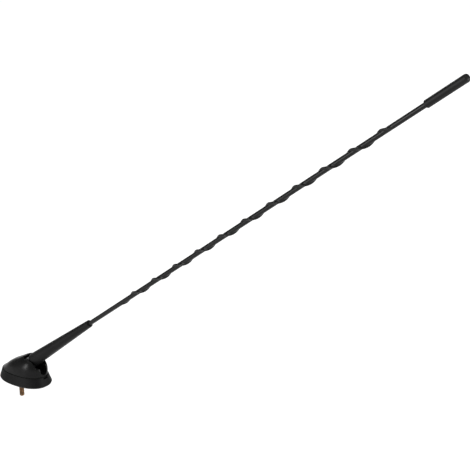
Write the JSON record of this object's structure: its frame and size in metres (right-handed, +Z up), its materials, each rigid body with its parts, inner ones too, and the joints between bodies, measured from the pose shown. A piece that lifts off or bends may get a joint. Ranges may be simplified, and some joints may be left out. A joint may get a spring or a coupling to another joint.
{
  "type": "roof antenna",
  "caption": "Black car roof antenna with a domed base, a folding whip with a helical ridge and a rounded tip cap, and a threaded stud below",
  "frame": {"origin": "On the stud's axis in the plane of the gasket's underside, where the base meets the roof.", "axes": "X points to the rear, the way the mast leans; Y to the left side of the base; Z up, away from the roof."},
  "size_m": [0.4858, 0.0374, 0.3896],
  "materials": {
    "cover_plastic": "satin black, smooth moulding",
    "skirt_plastic": "matte black, finely grained",
    "gasket_rubber": "matte black rubber",
    "plate_nylon": "matte dark nylon",
    "stud_brass": "dull brown brass",
    "contact_bronze": "bright bronze strip",
    "zinc_steel": "zinc plated",
    "pin_steel": "ground steel",
    "washer_nylon": "natural nylon",
    "knuckle_metal": "black painted die casting",
    "ferrule_brass": "bright brass",
    "boot_plastic": "satin black",
    "core_fibre": "bare glass fibre rod",
    "conductor_copper": "bare copper",
    "sleeve_plastic": "matte black jacket",
    "cap_plastic": "matte black, a little greyer"
  },
  "bodies": {
    "base": {"base_gasket": "gasket_rubber", "chassis_plate": "plate_nylon", "base_skirt": "skirt_plastic", "base_cover": "cover_plastic", "cover_screws": "zinc_steel", "fixing_stud": "stud_brass", "stud_ring": "zinc_steel", "contact_strip": "contact_bronze", "hinge_yoke": "zinc_steel", "yoke_rivets": "zinc_steel", "hinge_pin": "pin_steel", "friction_washers": "washer_nylon"},
    "mast": {"hinge_knuckle": "knuckle_metal", "mast_ferrule": "ferrule_brass", "mast_boot": "boot_plastic", "mast_core": "core_fibre", "mast_conductor": "conductor_copper", "mast_sleeve": "sleeve_plastic", "tip_cap": "cap_plastic"}
  },
  "joints": [
    {"name": "mast_fold", "type": "hinge", "parent": "base", "child": "mast", "pos_m": [0.0151, 0, 0.0209], "axis": [0, 1, 0], "range_deg": [-15, 7]}
  ]
}
